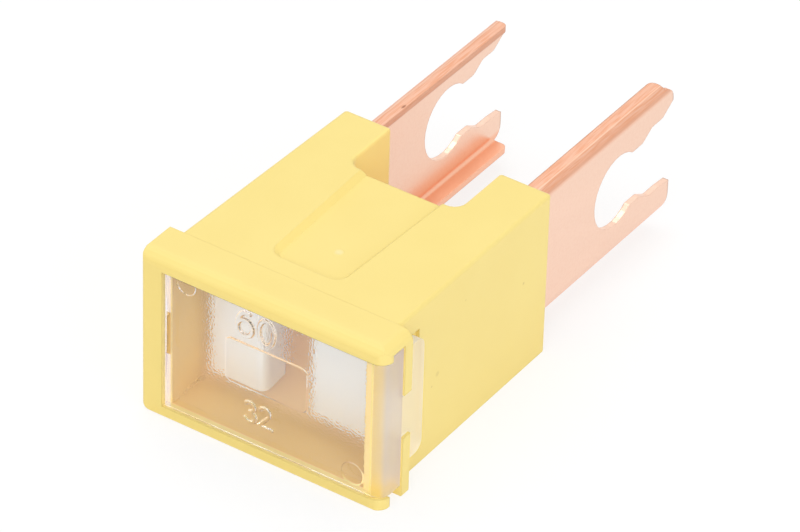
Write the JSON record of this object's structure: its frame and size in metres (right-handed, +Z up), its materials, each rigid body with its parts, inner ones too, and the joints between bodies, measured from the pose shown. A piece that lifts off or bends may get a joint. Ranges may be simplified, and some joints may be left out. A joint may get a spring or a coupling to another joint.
{
  "type": "bolt-in automotive link fuse",
  "caption": "Link fuse with a yellow moulded housing, a clear snap-in window cover and a bent copper strip whose channel blades end in open screw slots.",
  "frame": {"origin": "on the surface that the fuse lies on, under the middle of its whole length and width", "axes": "+Y from the window towards the tips of the blades, +Z up through the side with the shallow recess, +X towards the open end of the window"},
  "size_m": [0.0216, 0.0428, 0.0144],
  "materials": {
    "housing_plastic": "satin moulded yellow plastic",
    "cover_plastic": "clear moulded plastic, polished in the middle panel and lightly frosted round it",
    "strip_copper": "bare bright copper blades, tinned plates behind the window"
  },
  "bodies": {
    "root": {"housing": "housing_plastic", "window_cover": "cover_plastic", "fuse_strip": "strip_copper"}
  },
  "joints": []
}
